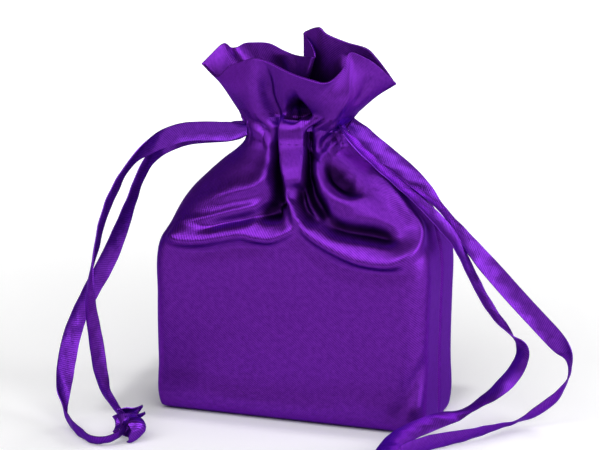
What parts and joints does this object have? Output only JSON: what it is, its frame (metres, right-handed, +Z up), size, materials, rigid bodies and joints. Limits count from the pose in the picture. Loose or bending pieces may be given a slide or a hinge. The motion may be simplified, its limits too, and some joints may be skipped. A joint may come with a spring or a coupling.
{
  "type": "drawstring dice bag",
  "caption": "Small satin drawstring pouch for gaming dice, standing filled, with a gathered neck, a flared frilled mouth and knotted ribbon ties on both sides.",
  "frame": {"origin": "on the floor under the middle of the bag's base, the ribbons left out", "axes": "+X to the bag's right, +Y to its back, +Z up"},
  "size_m": [0.1554, 0.0883, 0.118],
  "materials": {
    "satin": "glossy purple satin",
    "ribbon": "glossy purple satin ribbon",
    "thread": "purple sewing thread"
  },
  "bodies": {
    "bag": {"front_panel": "satin", "back_panel": "satin", "front_casing": "satin", "back_casing": "satin", "left_side_seam": "satin", "right_side_seam": "satin", "left_seam_stitches": "thread", "right_seam_stitches": "thread", "lower_casing_stitches": "thread", "upper_casing_stitches": "thread"},
    "front_lip": {"front_frill": "satin"},
    "back_lip": {"back_frill": "satin"},
    "left_drawstring": {"left_ribbon_loop": "ribbon", "left_ribbon_front": "ribbon", "left_ribbon_back": "ribbon", "left_ribbon_knot": "ribbon", "left_ribbon_tails": "ribbon"},
    "right_drawstring": {"right_ribbon_loop": "ribbon", "right_ribbon_front": "ribbon", "right_ribbon_back": "ribbon", "right_ribbon_knot": "ribbon", "right_ribbon_tails": "ribbon"}
  },
  "joints": [
    {"name": "front_lip_opening", "type": "hinge", "parent": "bag", "child": "front_lip", "pos_m": [-0.003, -0.0097, 0.0984], "axis": [1, 0, 0], "range_deg": [0, 25]},
    {"name": "back_lip_opening", "type": "hinge", "parent": "bag", "child": "back_lip", "pos_m": [-0.003, 0.0097, 0.0984], "axis": [-1, 0, 0], "range_deg": [0, 25]},
    {"name": "left_drawstring_pull", "type": "slide", "parent": "bag", "child": "left_drawstring", "axis": [-1, 0, 0], "range_m": [0, 0.012], "deforming": ["left_ribbon_loop"]},
    {"name": "right_drawstring_pull", "type": "slide", "parent": "bag", "child": "right_drawstring", "axis": [1, 0, 0], "range_m": [0, 0.012], "deforming": ["right_ribbon_loop"]}
  ]
}
